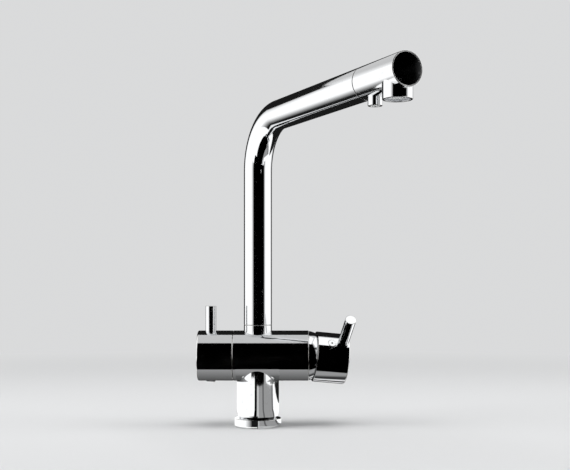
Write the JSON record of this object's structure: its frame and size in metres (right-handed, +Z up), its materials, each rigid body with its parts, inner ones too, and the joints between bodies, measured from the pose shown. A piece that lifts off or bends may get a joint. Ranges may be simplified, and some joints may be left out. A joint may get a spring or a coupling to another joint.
{
  "type": "three way filtered water tap",
  "caption": "Kitchen tap with swivelling tubular spout, mixer handle and filtered water handle on a cross barrel, a separate filtered water outlet, and deck fixing.",
  "frame": {"origin": "on the deck, on the common axis of the pedestal and the riser", "axes": "+Z up along the riser, X along the barrel with the mixer handle at +X, -Y towards the front of the sink"},
  "size_m": [0.1951, 0.2752, 0.3665],
  "materials": {
    "chrome": "polished chrome plate on brass, faint hairline scratches and water marks",
    "end_disc": "polished chrome plate, flat disc",
    "cap_trim": "polished chrome plate",
    "index_button": "polished chrome plate, small dished button",
    "nickel_plate": "nickel plate on turned brass",
    "black_plastic": "moulded black plastic",
    "raw_brass": "machined brass, turned marks",
    "zinc_steel": "pressed steel, zinc plated",
    "stainless": "turned stainless steel",
    "seal_rubber": "matt black rubber",
    "pale_plastic": "moulded natural plastic",
    "grey_plastic": "moulded grey plastic",
    "ceramic": "lapped ceramic"
  },
  "bodies": {
    "tap_body": {"base_ring": "chrome", "base_seal": "seal_rubber", "body_casting": "chrome", "threaded_shank": "raw_brass", "rubber_washer": "seal_rubber", "clamp_washer": "zinc_steel", "shank_nut": "raw_brass", "slide_ring": "black_plastic", "spout_screw": "stainless", "filter_valve_body": "nickel_plate", "filter_fixed_disc": "ceramic", "filter_valve_seal": "seal_rubber", "cartridge_base_plate": "grey_plastic", "cartridge_seals": "seal_rubber", "cartridge_shell": "grey_plastic", "fixed_disc": "ceramic", "cartridge_nut": "nickel_plate", "mixer_dome": "chrome"},
    "spout": {"spout_spigot": "raw_brass", "spigot_seals": "seal_rubber", "spout_tube": "chrome", "filter_tube": "pale_plastic", "joint_sleeve": "black_plastic", "spout_head": "chrome", "end_disc": "end_disc", "aerator_housing": "grey_plastic", "aerator_insert": "pale_plastic", "aerator_seal": "seal_rubber", "nozzle_insert": "pale_plastic"},
    "filter_handle": {"filter_cap": "chrome", "filter_pin": "chrome", "filter_cap_plug": "cap_trim", "filter_cap_screw": "stainless", "filter_spindle": "raw_brass", "filter_moving_disc": "ceramic"},
    "mixer_carrier": {"stem_carrier": "pale_plastic", "stem_pin": "stainless"},
    "mixer_handle": {"mixer_stem": "raw_brass", "mixer_cap": "chrome", "mixer_pin": "chrome", "index_button": "index_button", "mixer_cap_screw": "stainless"},
    "mixing_disc": {"moving_disc": "ceramic", "disc_driver": "pale_plastic"}
  },
  "joints": [
    {"name": "spout_swivel", "type": "hinge", "parent": "tap_body", "child": "spout", "pos_m": [0, 0, 0.0925], "axis": [0, 0, 1], "range_deg": [-87.25, 32.75]},
    {"name": "filter_turn", "type": "hinge", "parent": "tap_body", "child": "filter_handle", "pos_m": [-0.04, 0, 0.0705], "axis": [1, 0, 0], "range_deg": [0, 90]},
    {"name": "mixer_turn", "type": "hinge", "parent": "tap_body", "child": "mixer_carrier", "pos_m": [0.047, 0, 0.0705], "axis": [1, 0, 0], "range_deg": [-52, 48]},
    {"name": "mixer_tilt", "type": "hinge", "parent": "mixer_carrier", "child": "mixer_handle", "pos_m": [0.047, 0, 0.0705], "axis": [0, 0.6157, 0.788], "range_deg": [-9, 2]},
    {"name": "disc_slide", "type": "slide", "parent": "mixer_carrier", "child": "mixing_disc", "axis": [0, -0.788, 0.6157], "range_m": [-0.0021, 0.0005]}
  ],
  "couplings": [
    {"joint": "disc_slide", "follows": "mixer_tilt", "m_per_rad": 0.01294}
  ]
}
